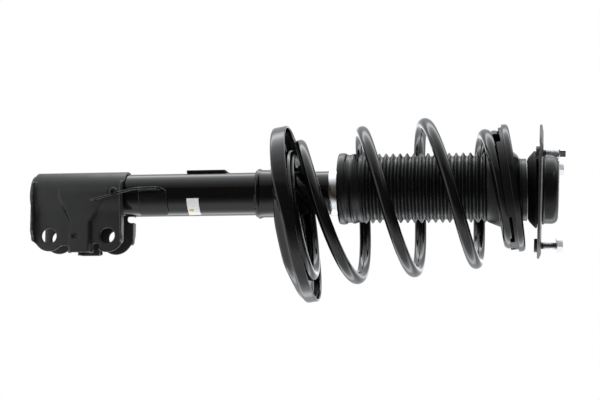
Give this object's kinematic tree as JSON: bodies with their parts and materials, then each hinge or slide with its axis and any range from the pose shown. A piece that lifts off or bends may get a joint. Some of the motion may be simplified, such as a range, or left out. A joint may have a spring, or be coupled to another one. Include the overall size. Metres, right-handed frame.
{
  "type": "strut assembly",
  "caption": "Loaded suspension strut: damper tube with a two-bolt knuckle bracket, black coil spring between tilted seats, bellows boot and a studded rubber top mount.",
  "frame": {"origin": "centre of the stud circle on the top mount plate's outer face, on the strut's axis", "axes": "+Z along the strut's axis out of the top mount, +X towards the knuckle flanges and the wheel, +Y along the knuckle bolts"},
  "size_m": [0.209, 0.206, 0.6268],
  "materials": {
    "black_paint": "gloss black paint",
    "black_steel": "satin black paint on pressed steel",
    "black_coating": "gloss powder coat",
    "zinc": "bright zinc plating",
    "steel": "bare machined steel",
    "chrome": "hard chromed and polished",
    "rubber": "matte black rubber",
    "boot_rubber": "satin black moulded rubber",
    "foam": "microcellular foam",
    "label": "blank paper label",
    "band": "bronze-filled sliding band"
  },
  "bodies": {
    "tube": {"strut_tube": "black_paint", "base_cap": "black_paint", "knuckle_bracket": "black_steel", "hose_bracket": "black_steel", "link_bracket": "black_steel", "lower_spring_seat": "black_paint", "lower_insulator": "rubber", "coil_spring": "black_coating", "bump_cap": "zinc", "inner_cylinder": "steel", "base_valve": "steel", "rod_guide": "steel", "oil_seal": "rubber", "tube_label": "label"},
    "spring_top": {"upper_spring_seat": "black_steel", "upper_insulator": "rubber", "dust_boot": "boot_rubber", "bearing_lower_race": "black_steel", "bearing_balls": "steel"},
    "mount": {"bearing_upper_race": "steel", "mount_lower_cup": "black_steel", "mount_rubber": "rubber", "mount_core": "steel", "mount_plate": "black_steel", "mount_shell": "black_steel", "mount_studs": "black_steel", "stud_nuts": "zinc", "piston_rod": "chrome", "piston": "steel", "piston_band": "band", "piston_nut": "steel", "rebound_stop": "rubber", "bump_stop": "foam", "rod_nut": "steel"}
  },
  "joints": [
    {"name": "strut_slide", "type": "slide", "parent": "tube", "child": "spring_top", "axis": [0, 0, 1], "range_m": [-0.14, 0], "stiffness_N_per_m": 25000, "springref_m": 0.01, "deforming": ["coil_spring", "dust_boot"]},
    {"name": "steering_bearing", "type": "hinge", "parent": "spring_top", "child": "mount", "pos_m": [0, 0, -0.02], "axis": [0, 0, 1], "continuous": true}
  ]
}
